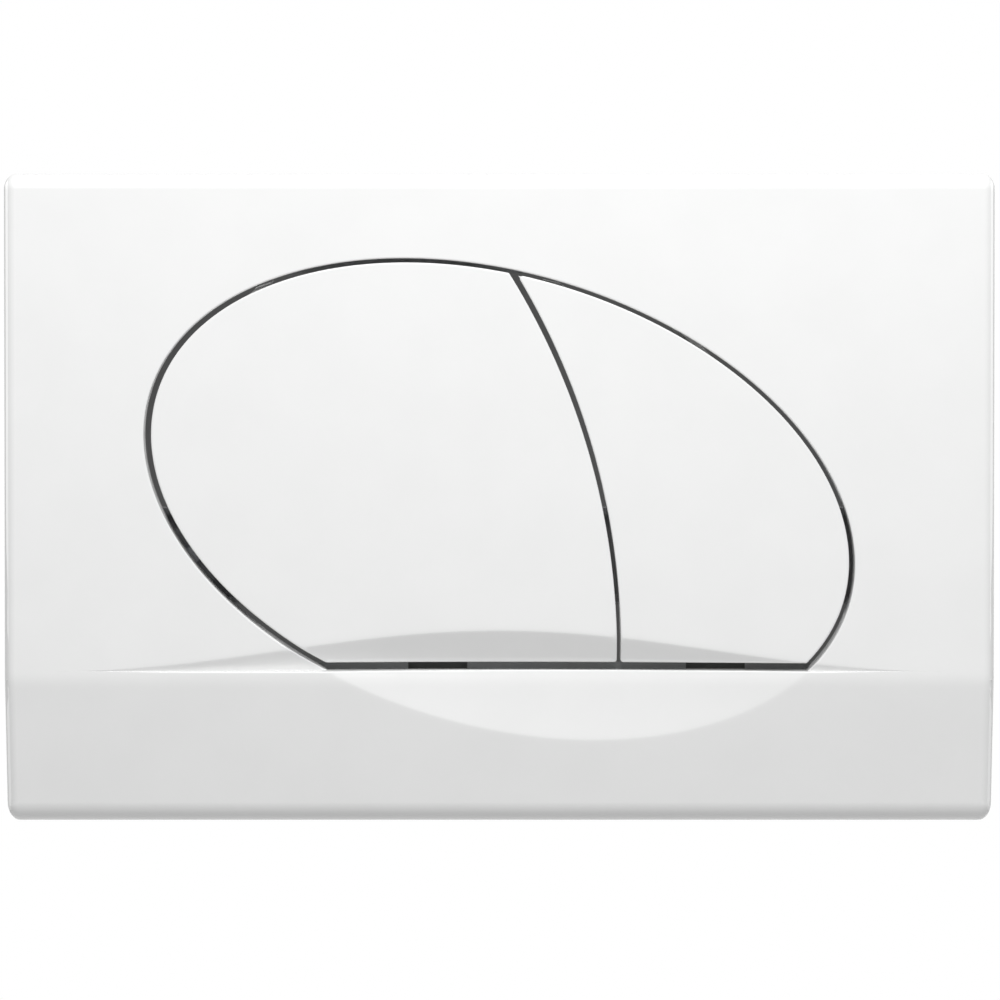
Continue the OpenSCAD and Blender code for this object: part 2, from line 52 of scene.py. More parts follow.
# All sizes are millimetres: x to the right, z up, depth in front of the wall. They are the part's own sizes.
plate = {
    "halfWidth": 122.5, "halfHeight": 80.5,
    "topDepth": 11, "ridgeDepth": 15, "bottomDepth": 9, "ridgeZ": -44.6, "ridgeRound": 17,
    "corner": 3.2, "sideRoll": 2.8, "topRoll": 4, "bottomRoll": 6,
    "edgeRound": 0.4, "flangeDepth": 6.5,
}
opening = {"a": 90.3, "b": 55.9, "tilt": math.radians(17), "lineZ": -42.4}
sickle = {"half": 109, "rise": 10.1, "slope": math.tan(math.radians(30)), "soft": 0.3}
scoop = {"deep": 10, "soft": 0.012}


def softStep(t, e):  # half of t plus the root of t squared plus e squared: 0 below, t above, rounded by e between
    return (t + np.sqrt(t * t + e * e)) / 2


def meetLines(a1, d1, a2, d2):  # the point at distance d1 along normal a1 and d2 along normal a2
    return ((d1 * math.sin(a2) - d2 * math.sin(a1)) / math.sin(a2 - a1),
            (d2 * math.cos(a1) - d1 * math.cos(a2)) / math.sin(a2 - a1))


upperLean = math.atan((plate["ridgeDepth"] - plate["topDepth"]) / (plate["halfHeight"] - plate["ridgeZ"]))
lowerLean = -math.atan((plate["ridgeDepth"] - plate["bottomDepth"]) / (plate["ridgeZ"] + plate["halfHeight"]))
upperD = plate["ridgeDepth"] * math.cos(upperLean) + plate["ridgeZ"] * math.sin(upperLean)
lowerD = plate["ridgeDepth"] * math.cos(lowerLean) + plate["ridgeZ"] * math.sin(lowerLean)
bendDepth, bendZ = meetLines(upperLean, upperD - plate["ridgeRound"], lowerLean, lowerD - plate["ridgeRound"])
lineZ = opening["lineZ"]


def faceDepth(z):  # two leaning planes, joined at the ridge by a circle that touches both
    upper = (upperD - z * math.sin(upperLean)) / math.cos(upperLean)
    lower = (lowerD - z * math.sin(lowerLean)) / math.cos(lowerLean)
    r = plate["ridgeRound"]
    bent = (z < bendZ + r * math.sin(upperLean)) & (z > bendZ + r * math.sin(lowerLean))
    bow = bendDepth + np.sqrt(np.maximum(r * r - (z - bendZ) ** 2, 0))
    return np.where(bent, bow, np.minimum(upper, lower))


def sickleRise(x):  # one wave of a cosine, from nothing at the tips to the full rise in the middle
    inside = np.abs(x) < sickle["half"]
    return np.where(inside, sickle["rise"] * (1 + np.cos(math.pi * x / sickle["half"])) / 2, 0)


def aboveLine(x, z):  # the face, less a slope that grows with the distance below the sickle's border
    rise = sickleRise(x)
    soft = sickle["soft"] * np.clip(rise, 0, 1)
    return faceDepth(z) - sickle["slope"] * softStep(lineZ + rise - z, soft)


def ovalShare(x, z):  # square of a point's distance from the oval's centre, where the oval itself is 1
    c, s = math.cos(opening["tilt"]), math.sin(opening["tilt"])
    return ((x * c - z * s) / opening["a"]) ** 2 + ((x * s + z * c) / opening["b"]) ** 2


def belowLine(x, z):  # the face, less a hollow that deepens evenly with one minus the oval share
    return faceDepth(z) - scoop["deep"] * softStep(1 - ovalShare(x, z), scoop["soft"])


def rayToOval(px, pz, dx, dz, a, b):  # how far along each ray the tilted oval is met, by the larger root
    c, s = math.cos(opening["tilt"]), math.sin(opening["tilt"])
    ux, uz = (px * c - pz * s) / a, (px * s + pz * c) / b
    vx, vz = (dx * c - dz * s) / a, (dx * s + dz * c) / b
    k, m, n = vx * vx + vz * vz, ux * vx + uz * vz, ux * ux + uz * uz - 1
    return (-m + np.sqrt(m * m - k * n)) / k


def ovalNormal(x, z):  # the direction in which the oval share grows
    c, s = math.cos(opening["tilt"]), math.sin(opening["tilt"])
    p, q = (x * c - z * s) / opening["a"] ** 2, (x * s + z * c) / opening["b"] ** 2
    nx, nz = p * c + q * s, -p * s + q * c
    size = np.hypot(nx, nz)
    return nx / size, nz / size


def crossing(ax, az, bx, bz, level):  # share of the way from a to b where level turns positive, by halving
    low, high = np.zeros_like(ax), np.ones_like(ax)
    for _ in range(40):
        mid = (low + high) / 2
        below = level(ax + (bx - ax) * mid, az + (bz - az) * mid) < -1e-7
        low, high = np.where(below, mid, low), np.where(below, high, mid)
    short = low * np.hypot(bx - ax, bz - az) < 0.25
    return np.where((level(ax, az) < -1e-7) & ~short, low, 0)


def stack(x, depth, z):  # three arrays as points, with depth turned into -y
    x, depth, z = np.broadcast_arrays(x, depth, z)
    return np.stack([x, -depth, z], axis=-1).astype(float)


def gridFaces(nu, nv, closeU=False, closeV=False):  # the four corners of each cell of a grid
    i = np.arange(nu if closeU else nu - 1)[:, None]
    j = np.arange(nv if closeV else nv - 1)[None, :]
    a, b = i * nv + j, i * nv + (j + 1) % nv
    c, d = ((i + 1) % nu) * nv + (j + 1) % nv, ((i + 1) % nu) * nv + j
    return np.stack(np.broadcast_arrays(a, b, c, d), axis=-1).reshape(-1, 4)


def addPiece(name, grids, facing=None, merge=0.002, fill=False):
    # grids: (points, closeU, closeV) each; joined, welded, and turned outwards or towards facing
    points, faces, start = [], [], 0
    for pts, closeU, closeV in grids:
        points.append(pts.reshape(-1, 3))
        faces.append(gridFaces(pts.shape[0], pts.shape[1], closeU, closeV) + start)
        start += pts.shape[0] * pts.shape[1]
    points, faces = np.concatenate(points) / 1000, np.concatenate(faces).tolist()
    if fill:  # the last row of the last grid is flat, and one face closes it
        wide = grids[-1][0].shape[1]
        faces.append([start - wide * i - 1 for i in range(grids[-1][0].shape[0])])
    mesh = bpy.data.meshes.new(name)
    mesh.from_pydata(points.tolist(), [], faces)
    shape = bmesh.new()
    shape.from_mesh(mesh)
    bmesh.ops.remove_doubles(shape, verts=shape.verts, dist=merge / 1000)
    bmesh.ops.dissolve_degenerate(shape, edges=shape.edges, dist=merge / 2000)
    bmesh.ops.recalc_face_normals(shape, faces=shape.faces)
    if facing is not None:
        lean = sum((f.normal.dot(facing) * f.calc_area() for f in shape.faces), 0.0)
        if lean < 0:
            bmesh.ops.reverse_faces(shape, faces=shape.faces)
    shape.to_mesh(mesh)
    shape.free()
    mesh.shade_smooth()
    obj = bpy.data.objects.new(name, mesh)
    bpy.context.scene.collection.objects.link(obj)
    return obj


# a fine sheet gets a wall, and the CAD node's copy has its own skin drawn in, to end inside that wall
fit = {"wall": 1.0, "drawIn": 0.55, "endLift": 0.06}


def thicken(obj):
    solid = obj.modifiers.new("wall", "SOLIDIFY")
    solid.thickness, solid.offset, solid.use_rim = fit["wall"] / 1000, -1, True


def weldedCopy(name, drawBack, endDepths):
    # its end faces at these depths move in by a hair, so that they don't lie in the sheet's own end faces
    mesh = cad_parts[name].data.copy()
    shape = bmesh.new()
    shape.from_mesh(mesh)
    bmesh.ops.remove_doubles(shape, verts=shape.verts, dist=2e-6)
    shape.to_mesh(mesh)
    shape.free()
    flat = np.empty(len(mesh.vertices) * 3, dtype=np.float32)
    mesh.vertices.foreach_get("co", flat)
    x, y, z = flat.reshape(-1, 3).astype(float).T * 1000
    atEnd = np.any([np.abs(-y - depth) < 0.02 for depth in endDepths], axis=0)
    x, z, depth = drawBack(x, z, -y)
    moved = stack(x, depth + fit["endLift"] * atEnd, z) / 1000
    mesh.vertices.foreach_set("co", moved.astype(np.float32).ravel())
    mesh.shade_flat()
    return mesh


def joined(name, sheet, back):  # the thickened sheet and the welded copy as one piece
    ready = bpy.data.meshes.new_from_object(sheet.evaluated_get(bpy.context.evaluated_depsgraph_get()))
    ready.shade_smooth()
    ready.set_sharp_from_angle(angle=math.radians(32))
    shape = bmesh.new()
    shape.from_mesh(ready)
    shape.from_mesh(back)
    bpy.data.objects.remove(sheet)
    mesh = bpy.data.meshes.new(name)
    shape.to_mesh(mesh)
    shape.free()
    obj = bpy.data.objects.new(name, mesh)
    bpy.context.scene.collection.objects.link(obj)
    return obj


def ovalGap(x, z, a, b):  # distance outside the tilted oval, from its share and how fast that grows
    c, s = math.cos(opening["tilt"]), math.sin(opening["tilt"])
    u, v = (x * c - z * s) / a, (x * s + z * c) / b
    grow = np.hypot(u / a, v / b) + 1e-9
    return (u * u + v * v - 1) / (2 * grow)


# the cover's sheet
quarter = np.radians(np.linspace(0, 90, 6))


def coverUpper():
    # rays from the middle of the straight edge; rows: flange end, rounded edge, slope to the sickle's border, face
    c, s = math.cos(opening["tilt"]), math.sin(opening["tilt"])
    sideX = plate["halfWidth"] - plate["sideRoll"]
    topZ = plate["halfHeight"] - plate["topRoll"] * (1 - math.sin(upperLean))
    up = lineZ + (topZ - lineZ) * np.linspace(0, 1, 84) ** 1.6
    along = np.linspace(-sideX, sideX, 132)[1:-1]
    outX = np.concatenate([np.full(84, -sideX), along, np.full(84, sideX)])
    outZ = np.concatenate([up, np.full(130, topZ), up[::-1]])
    k, m, n = c * c / opening["a"] ** 2 + s * s / opening["b"] ** 2, \
        lineZ * c * s * (1 / opening["b"] ** 2 - 1 / opening["a"] ** 2), \
        lineZ ** 2 * (s * s / opening["a"] ** 2 + c * c / opening["b"] ** 2) - 1
    ends = (-m + np.array([-1, 1]) * math.sqrt(m * m - k * n)) / k
    poleX = ends.mean()
    far = np.hypot(outX - poleX, outZ - lineZ)
    rayX, rayZ = (outX - poleX) / far, (outZ - lineZ) / far
    hit = rayToOval(poleX, lineZ, rayX, rayZ, opening["a"], opening["b"])
    holeX, holeZ = poleX + hit * rayX, lineZ + hit * rayZ
    nx, nz = ovalNormal(holeX, holeZ)
    e = plate["edgeRound"]
    reach = e / (rayX * nx + rayZ * nz)
    startX, startZ = holeX + rayX * reach, holeZ + rayZ * reach
    top = aboveLine(startX, startZ)
    cut = crossing(startX, startZ, outX, outZ, lambda x, z: z - lineZ - sickleRise(x))
    rows = [stack(holeX, plate["flangeDepth"], holeZ)]
    for q in quarter:
        step = reach * (1 - np.cos(q))
        rows.append(stack(holeX + rayX * step, top - e * (1 - np.sin(q)), holeZ + rayZ * step))
    shares = [cut * (1 - (1 - t) ** 2.2) for t in np.linspace(0, 1, 13)[1:]]
    shares += [cut + (1 - cut) * t ** 2.2 for t in np.linspace(0, 1, 17)[1:-1]] + [np.full_like(cut, 0.996)]
    for t in shares + [np.ones_like(cut)]:
        x, z = startX + (outX - startX) * t, startZ + (outZ - startZ) * t
        rows.append(stack(x, aboveLine(x, z), z))
    return np.stack(rows, axis=1), ends


def coverLower(upper, ends):
    # upright columns below the straight edge; rows: foot of the shelf, rounded lip, hollow to its border, face
    left, right = upper[0, 1:][::-1], upper[-1, 1:]
    middle = np.linspace(ends[0], ends[1], 100)
    x = np.concatenate([left[:, 0], middle, right[:, 0]])
    shelf = np.concatenate([-left[:, 1], np.interp(middle, ends, [-left[-1, 1], -right[0, 1]]), -right[:, 1]])
    high = np.maximum(faceDepth(np.float64(lineZ)) - shelf, 0)
    e = np.minimum(plate["edgeRound"], 0.45 * high)
    top = belowLine(x, lineZ - e)
    foot = shelf.copy()
    foot[len(left):-len(right)] = plate["flangeDepth"]
    shelf[len(left):-len(right)] = (plate["flangeDepth"] + (top - e)[len(left):-len(right)]) / 2
    c, s = math.cos(opening["tilt"]), math.sin(opening["tilt"])
    a, b = opening["a"], opening["b"]
    k, m, n = s * s / (a * a) + c * c / (b * b), x * s * c * (1 / (b * b) - 1 / (a * a)), \
        x * x * (c * c / (a * a) + s * s / (b * b)) - 1
    rim = (-m - np.sqrt(np.maximum(m * m - k * n, 0))) / k
    startZ = lineZ - e
    inHollow = (x > ends[0]) & (x < ends[1])
    rimZ = np.where(inHollow & (rim < startZ - 0.25), rim, startZ)
    endZ = -plate["halfHeight"] + plate["bottomRoll"] * (1 - math.sin(-lowerLean))
    rows = [stack(x, foot, lineZ), stack(x, shelf, lineZ)]
    for q in quarter:
        rows.append(stack(x, top - e * (1 - np.sin(q)), lineZ - e * (1 - np.cos(q))))
    for t in np.linspace(0, 1, 21)[1:]:
        z = startZ + (rimZ - startZ) * (1 - (1 - t) ** 1.6)
        rows.append(stack(x, belowLine(x, z), z))
    for t in list(np.linspace(0, 1, 27)[1:-1] ** 1.7) + [0.99, 1]:
        z = rimZ + (endZ - rimZ) * t
        rows.append(stack(x, belowLine(x, z), z))
    return np.stack(rows, axis=1)


def outerBand(points, sideX, sideZ, turn, lean, roll):
    # carries the rolled edge and the side wall along a border; turn is 0 on a side and 90 degrees on top or bottom
    points = points[:, None, :]
    turn = np.asarray(turn, float)[:, None]
    swing = np.radians(np.array([0, 3, 12, 24, 36, 48, 60, 72, 84, 90]))[None, :]
    leaned = lean + (math.pi / 2 - lean) * swing / (math.pi / 2)
    outX = plate["sideRoll"] * np.sin(swing)
    outZ = roll * (np.sin(leaned) - math.sin(lean))
    drop = plate["sideRoll"] * (1 - np.cos(swing)) * np.cos(turn) ** 2 \
        + roll * (math.cos(lean) - np.cos(leaned)) * np.sin(turn) ** 2
    rolled = stack(points[..., 0] + sideX * outX * np.cos(turn), -points[..., 1] - drop,
                   points[..., 2] + sideZ * outZ * np.sin(turn))
    last = rolled[:, -1:]
    wall = [np.concatenate([last[..., :1], last[..., 1:2] * t, last[..., 2:]], axis=-1) for t in (0.97, 0.5, 0.03, 0)]
    return np.concatenate([rolled] + wall, axis=1)


def coverSheet():
    upper, ends = coverUpper()
    lower = coverLower(upper, ends)
    grids = [(upper, False, False), (lower, False, False)]
    border = upper[:, -1]
    sideX = border[0, 0]
    isLeft, isRight = border[:, 0] <= sideX + 1e-6, border[:, 0] >= -sideX - 1e-6
    topPts = border[np.abs(border[:, 2] - border[:, 2].max()) < 1e-6]
    fan = np.linspace(0, math.pi / 2, 9)
    top = upperLean, plate["topRoll"]
    bottom = -lowerLean, plate["bottomRoll"]
    grids.append((outerBand(border[isLeft], -1, 1, np.zeros(isLeft.sum()), *top), False, False))
    grids.append((outerBand(border[isRight], 1, 1, np.zeros(isRight.sum()), *top), False, False))
    grids.append((outerBand(topPts, 1, 1, np.full(len(topPts), math.pi / 2), *top), False, False))
    grids.append((outerBand(lower[0], -1, -1, np.zeros(lower.shape[1]), *bottom), False, False))
    grids.append((outerBand(lower[-1], 1, -1, np.zeros(lower.shape[1]), *bottom), False, False))
    grids.append((outerBand(lower[:, -1], 1, -1, np.full(len(lower), math.pi / 2), *bottom), False, False))
    for corner, sx, sz, edge in ((topPts[0], -1, 1, top), (topPts[-1], 1, 1, top),
                                 (lower[0, -1], -1, -1, bottom), (lower[-1, -1], 1, -1, bottom)):
        grids.append((outerBand(np.repeat(corner[None], 9, axis=0), sx, sz, fan, *edge), False, False))
    return grids


def coverDrawBack(x, z, depth):  # the face, the side walls, the opening's wall and the step move into the wall
    side = np.clip((np.abs(x) - plate["halfWidth"]) / plate["sideRoll"] + 1, 0, 1)
    roll = np.where(z > 0, plate["topRoll"], plate["bottomRoll"])
    end = np.clip((np.abs(z) - plate["halfHeight"]) / roll + 1, 0, 1)
    drop = np.maximum(plate["sideRoll"] * (1 - np.sqrt(1 - side ** 2)), roll * (1 - np.sqrt(1 - end ** 2)))
    skin = np.where(z >= lineZ - 0.01, aboveLine(x, z), belowLine(x, z)) - drop
    coreX, coreZ = plate["halfWidth"] - plate["corner"], plate["halfHeight"] - plate["corner"]
    awayX, awayZ = x - np.clip(x, -coreX, coreX), z - np.clip(z, -coreZ, coreZ)
    away = np.hypot(awayX, awayZ) + 1e-9
    onSide = away > plate["corner"] - fit["drawIn"]
    gap = ovalGap(x, z, opening["a"], opening["b"])
    rim = (np.abs(gap) < 0.8) & (z > lineZ - 0.1) & (depth > plate["flangeDepth"] - 0.1)
    nx, nz = ovalNormal(x, z)
    onLine = np.abs(z - lineZ) < 0.05
    outX = x + fit["drawIn"] * (nx * rim - onSide * awayX / away)
    outZ = z + fit["drawIn"] * (nz * rim - onSide * awayZ / away - onLine)
    return outX, outZ, depth - fit["drawIn"] * (depth > skin - 1.2)


coverSheetPiece = addPiece("coverSheet", coverSheet(), facing=(0, -1, 0))
print("cover sheet:", len(coverSheetPiece.data.polygons), "faces")
thicken(coverSheetPiece)
cover = joined("coverShell", coverSheetPiece, weldedCopy("cover_plate", coverDrawBack, (0, plate["flangeDepth"])))

# the buttons' sheets
buttons = {
    "a": 88.65, "b": 54.6, "right": 0.2, "up": 0.3, "bottomZ": -40.4, "skirtDepth": 4.2,
    "arcX": -148.9, "arcZ": -37.8, "arcR": 178.5, "gap": 0.96, "lift": 0.92, "corner": 0.7, "edgeRound": 0.4,
}


def outline(t):  # the buttons' oval at these angles, counted against the clock
    c, s = math.cos(opening["tilt"]), math.sin(opening["tilt"])
    return np.stack([buttons["a"] * np.cos(t) * c + buttons["b"] * np.sin(t) * s + buttons["right"],
                     buttons["b"] * np.sin(t) * c - buttons["a"] * np.cos(t) * s + buttons["up"]], axis=-1)


def buttonCurves(which):
    # the oval, the arc that parts the buttons and the straight lower edge, each as a run of points, clockwise
    sign = 1 if which == "large" else -1
    cz = buttons["arcZ"] + (0 if which == "large" else buttons["lift"])
    r = buttons["arcR"] - 0.5 * sign * buttons["gap"]

    def inside(t):  # positive where the oval bounds this button
        x, z = np.moveaxis(outline(t), -1, 0)
        return np.minimum(z - buttons["bottomZ"], sign * (r - np.hypot(x - buttons["arcX"], z - cz)))

    coarse = np.linspace(-math.pi / 2, 1.5 * math.pi, 721)
    keep = inside(coarse) > 0
    ends = []
    for change in (keep[1:] & ~keep[:-1], ~keep[1:] & keep[:-1]):
        i = np.flatnonzero(change)[0]
        low, high = (coarse[i], coarse[i + 1]) if keep[i + 1] else (coarse[i + 1], coarse[i])
        for _ in range(50):
            mid = (low + high) / 2
            low, high = (low, mid) if inside(mid) > 0 else (mid, high)
        ends.append(high)
    oval = outline(np.linspace(ends[1], ends[0], 3000))
    topPoint, lowPoint = (oval[-1], oval[0]) if which == "large" else (oval[0], oval[-1])
    topAngle = math.atan2(topPoint[1] - cz, topPoint[0] - buttons["arcX"])
    angle = np.linspace(topAngle, math.asin((buttons["bottomZ"] - cz) / r), 1500)
    arc = np.stack([buttons["arcX"] + r * np.cos(angle), cz + r * np.sin(angle)], axis=1)
    if which == "large":
        return [oval, arc, np.linspace(arc[-1], lowPoint, 1500)]
    return [arc[::-1], oval, np.linspace(lowPoint, arc[-1], 1500)]


def trimmed(curve, head, tail):  # a run of points, cut short at both ends by these lengths
    run = np.concatenate([[0], np.cumsum(np.hypot(*np.diff(curve, axis=0).T))])
    at = np.linspace(head, run[-1] - tail, max(int((run[-1] - head - tail) / 1.3), 8))
    return np.stack([np.interp(at, run, curve[:, 0]), np.interp(at, run, curve[:, 1])], axis=1)


def roundedLoop(curves, r):  # joins the runs by arcs of radius r that touch both neighbours
    cuts = []
    for i, curve in enumerate(curves):
        after = curves[(i + 1) % len(curves)]
        t1, t2 = curve[-1] - curve[-4], after[3] - after[0]
        t1, t2 = t1 / np.hypot(*t1), t2 / np.hypot(*t2)
        bend = math.acos(np.clip(t1 @ t2, -1, 1))
        cuts.append((r * math.tan(bend / 2), t1, t2, bend, curve[-1]))
    loop = []
    for i, curve in enumerate(curves):
        loop.append(trimmed(curve, cuts[i - 1][0], cuts[i][0]))
        reach, t1, t2, bend, corner = cuts[i]
        inward = (t2 - t1) / np.hypot(*(t2 - t1))
        centre = corner + inward * r / math.cos(bend / 2)
        from1 = -(inward - t1 * (inward @ t1))
        from1 /= np.hypot(*from1)
        turn = np.linspace(0, bend, 9)[1:-1, None]
        loop.append(centre + r * (from1 * np.cos(turn) + t1 * np.sin(turn)))
    return np.concatenate(loop)


def buttonSheet(which, pole):
    # rays from the outline to the pole; rows: skirt's end, rounded edge, slope to the sickle's border, face
    loop = roundedLoop(buttonCurves(which), buttons["corner"])
    ahead = np.roll(loop, -1, axis=0) - np.roll(loop, 1, axis=0)
    ahead /= np.hypot(*ahead.T)[:, None]
    normal = np.stack([-ahead[:, 1], ahead[:, 0]], axis=1)  # clockwise, so outwards is to the left
    x, z = loop.T
    nx, nz = normal.T
    e = buttons["edgeRound"]
    sx, sz = x - nx * e, z - nz * e
    top = aboveLine(sx, sz)
    px, pz = np.full_like(x, pole[0]), np.full_like(x, pole[1])
    cut = crossing(sx, sz, px, pz, lambda u, w: w - lineZ - sickleRise(u))
    rows = [stack(x, buttons["skirtDepth"], z)]
    for q in quarter:
        step = e * (1 - np.cos(q))
        rows.append(stack(x - nx * step, top - e * (1 - np.sin(q)), z - nz * step))
    shares = [cut * (1 - (1 - t) ** 2) for t in np.linspace(0, 1, 15)[1:]]
    shares += [cut + (1 - cut) * t ** 1.9 for t in np.linspace(0, 0.85, 15)[1:]]
    for t in shares:
        u, w = sx + (px - sx) * t, sz + (pz - sz) * t
        rows.append(stack(u, aboveLine(u, w), w))
    return np.stack(rows, axis=1)


def buttonDrawBack(which):
    # the same for a button: its skin, its outline and its lower edge; the keeper tabs go in as well, because the
    # photo shows none in the gap
    cz = buttons["arcZ"] + (0 if which == "large" else buttons["lift"])
    sign = 1 if which == "large" else -1
    r = buttons["arcR"] - 0.5 * sign * buttons["gap"]

    def drawBack(x, z, depth):
        gap = ovalGap(x - buttons["right"], z - buttons["up"], buttons["a"], buttons["b"])
        nx, nz = ovalNormal(x - buttons["right"], z - buttons["up"])
        far = np.hypot(x - buttons["arcX"], z - cz)
        deep = depth > buttons["skirtDepth"] - 0.2
        rim = np.where(gap > 0.1, gap + fit["drawIn"], fit["drawIn"] * ((np.abs(gap + 0.45) < 0.55) & deep))
        arc = fit["drawIn"] * sign * ((np.abs(sign * (r - far) - 0.45) < 0.55) & deep & (gap < 0.1))
        low = z < buttons["bottomZ"] + 0.9
        outX = x - nx * rim - arc * (x - buttons["arcX"]) / far
        outZ = z - nz * rim - arc * (z - cz) / far + fit["drawIn"] * low
        return outX, outZ, depth - fit["drawIn"] * ((depth > aboveLine(x, z) - 1.0) & (gap < 0.1))
    return drawBack


caps = {}
for which, pole in (("large", (-22, 4)), ("small", (50, -2))):
    sheet = addPiece(which + "Sheet", [(buttonSheet(which, pole), True, False)], facing=(0, -1, 0), fill=True)
    print(which, "button sheet:", len(sheet.data.polygons), "faces")
    thicken(sheet)
    back = weldedCopy(which + "_button", buttonDrawBack(which), (buttons["skirtDepth"],))
    caps[which] = joined(which + "Cap", sheet, back)

# return springs, with the end coils closed
springs = {"wire": 1.0, "turns": 6, "closedTurns": 1, "around": 14, "perTurn": 28, "pressedShare": 0.694}


def springTube(low, high):  # a circle carried along a helix whose pitch is one wire at both ends
    wire, closed = springs["wire"], springs["closedTurns"]
    cx, cz = (low[0] + high[0]) / 2, (low[2] + high[2]) / 2
    r = (high[0] - low[0]) / 2 - wire / 2
    first, last = low[1] + wire / 2, high[1] - wire / 2
    turn = np.linspace(0, springs["turns"], int(springs["turns"] * springs["perTurn"]) + 1)
    pitch = (last - first - 2 * closed * wire) / (springs["turns"] - 2 * closed)
    y = first + wire * np.clip(turn, 0, closed) + pitch * np.clip(turn - closed, 0, springs["turns"] - 2 * closed) \
        + wire * np.clip(turn - springs["turns"] + closed, 0, closed)
    a = 2 * math.pi * turn
    path = np.stack([cx + r * np.cos(a), y, cz + r * np.sin(a)], axis=1)
    ahead = np.gradient(path, axis=0)
    ahead /= np.linalg.norm(ahead, axis=1)[:, None]
    out = np.stack([np.cos(a), 0 * a, np.sin(a)], axis=1)
    side = np.cross(ahead, out)
    b = np.linspace(0, 2 * math.pi, springs["around"], endpoint=False)[None, :, None]
    path = np.concatenate([path[:1], path, path[-1:]])
    out, side = (np.concatenate([v[:1], v, v[-1:]]) for v in (out, side))
    share = np.concatenate([[0], np.ones(len(turn)), [0]])
    return path[:, None] + share[:, None, None] * wire / 2 * (np.cos(b) * out[:, None] + np.sin(b) * side[:, None])


springPieces = {}
for which in caps:
    low, high = (np.array(corner) * 1000 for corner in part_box(which + "_return_spring"))
    springPieces[which] = addPiece(which + "Spring", [(springTube(low, high), False, True)])
    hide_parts(which + "_return_spring")
    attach(springPieces[which], "plate")
    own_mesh(springPieces[which])
print("springs made")

# materials, all from noise on Object coordinates
looks = {
    "whiteGloss": {"pair": ((0.915, 0.918, 0.915), (0.90, 0.903, 0.90)), "rough": (0.2, 0.26), "metal": 0,
                   "patch": 60, "grain": 900, "bump": 0.03, "coat": 0.25, "stretch": (1, 1, 1)},
    "greyPlastic": {"pair": ((0.61, 0.62, 0.63), (0.56, 0.57, 0.58)), "rough": (0.42, 0.56), "metal": 0,
                    "patch": 40, "grain": 2600, "bump": 0.16, "coat": 0, "stretch": (1, 1, 1)},
    "creamPlastic": {"pair": ((0.80, 0.79, 0.74), (0.75, 0.735, 0.68)), "rough": (0.30, 0.42), "metal": 0,
                     "patch": 90, "grain": 1600, "bump": 0.07, "coat": 0, "stretch": (1, 1, 1)},
    "brightSteel": {"pair": ((0.62, 0.62, 0.63), (0.53, 0.53, 0.55)), "rough": (0.18, 0.32), "metal": 1,
                    "patch": 120, "grain": 1800, "bump": 0.08, "coat": 0, "stretch": (1, 9, 1)},
    "zincSteel": {"pair": ((0.60, 0.61, 0.63), (0.44, 0.46, 0.50)), "rough": (0.30, 0.48), "metal": 1,
                  "patch": 260, "grain": 1400, "bump": 0.10, "coat": 0, "stretch": (1, 1, 1)},
    "springSteel": {"pair": ((0.42, 0.42, 0.44), (0.30, 0.29, 0.30)), "rough": (0.26, 0.4), "metal": 1,
                    "patch": 180, "grain": 2200, "bump": 0.06, "coat": 0, "stretch": (1, 1, 1)},
    "blackRubber": {"pair": ((0.035, 0.035, 0.037), (0.022, 0.022, 0.023)), "rough": (0.7, 0.85), "metal": 0,
                    "patch": 200, "grain": 3000, "bump": 0.25, "coat": 0, "stretch": (1, 1, 1)},
}


def moulded(name, look):
    # colour and roughness drift between two values with a broad noise, and a fine noise makes the grain
    mat = bpy.data.materials.new(name)
    mat.use_nodes = True
    tree = mat.node_tree
    shader = tree.nodes["Principled BSDF"]
    add = lambda kind: tree.nodes.new("ShaderNode" + kind)
    coord, place, broad, fine = add("TexCoord"), add("Mapping"), add("TexNoise"), add("TexNoise")
    ramp, spread, bump = add("ValToRGB"), add("MapRange"), add("Bump")
    tree.links.new(coord.outputs["Object"], place.inputs["Vector"])
    place.inputs["Scale"].default_value = look["stretch"]
    tree.links.new(place.outputs[0], broad.inputs["Vector"])
    tree.links.new(place.outputs[0], fine.inputs["Vector"])
    broad.inputs["Scale"].default_value, broad.inputs["Detail"].default_value = look["patch"], 4
    fine.inputs["Scale"].default_value, fine.inputs["Detail"].default_value = look["grain"], 3
    ramp.color_ramp.elements[0].position, ramp.color_ramp.elements[1].position = 0.35, 0.65
    ramp.color_ramp.elements[0].color = (*look["pair"][1], 1)
    ramp.color_ramp.elements[1].color = (*look["pair"][0], 1)
    tree.links.new(broad.outputs[0], ramp.inputs[0])
    tree.links.new(ramp.outputs[0], shader.inputs["Base Color"])
    tree.links.new(broad.outputs[0], spread.inputs["Value"])
    spread.inputs["To Min"].default_value, spread.inputs["To Max"].default_value = look["rough"]
    tree.links.new(spread.outputs[0], shader.inputs["Roughness"])
    bump.inputs["Strength"].default_value, bump.inputs["Distance"].default_value = look["bump"], 0.0001
    tree.links.new(fine.outputs[0], bump.inputs["Height"])
    tree.links.new(bump.outputs[0], shader.inputs["Normal"])
    shader.inputs["Metallic"].default_value = look["metal"]
    shader.inputs["Coat Weight"].default_value = look["coat"]
    shader.inputs["Coat Roughness"].default_value = 0.08
    return mat


